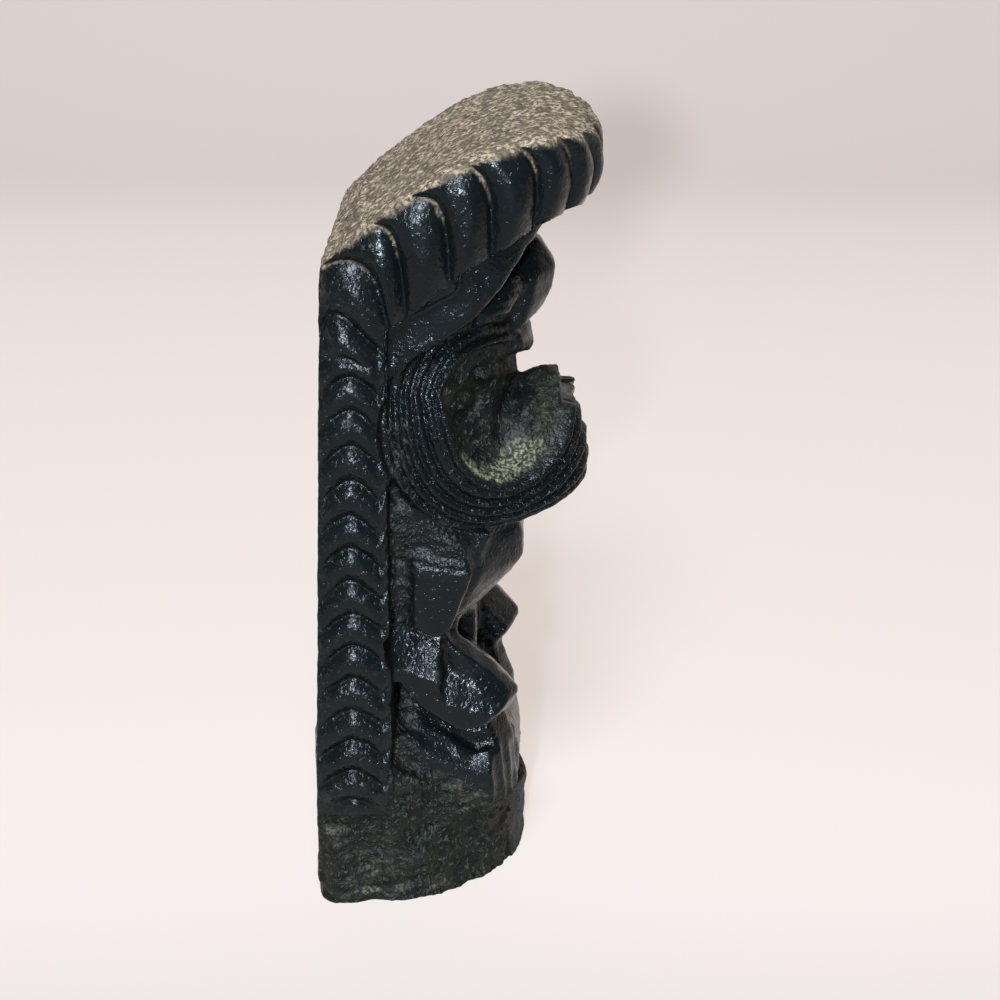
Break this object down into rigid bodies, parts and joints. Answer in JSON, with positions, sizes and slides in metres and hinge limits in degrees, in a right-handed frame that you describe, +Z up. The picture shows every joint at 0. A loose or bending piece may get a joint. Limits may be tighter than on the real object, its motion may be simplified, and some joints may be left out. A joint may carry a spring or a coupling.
{
  "type": "tiki figurine",
  "caption": "Squatting tiki figure in black stone with a deep lobed headdress, a wide ringed mouth and ridged side bands, standing on a rough plinth with a flat back",
  "frame": {"origin": "middle of the bounding box in plan, on the plane of the underside", "axes": "+Z up from the underside to the crown; -Y towards the front, where the face looks; +X to the figure's left"},
  "size_m": [0.0702, 0.0584, 0.165],
  "materials": {
    "black_stone": "glossy lacquered black with a fine grit"
  },
  "bodies": {
    "root": {"tiki_figure": "black_stone"}
  },
  "joints": []
}
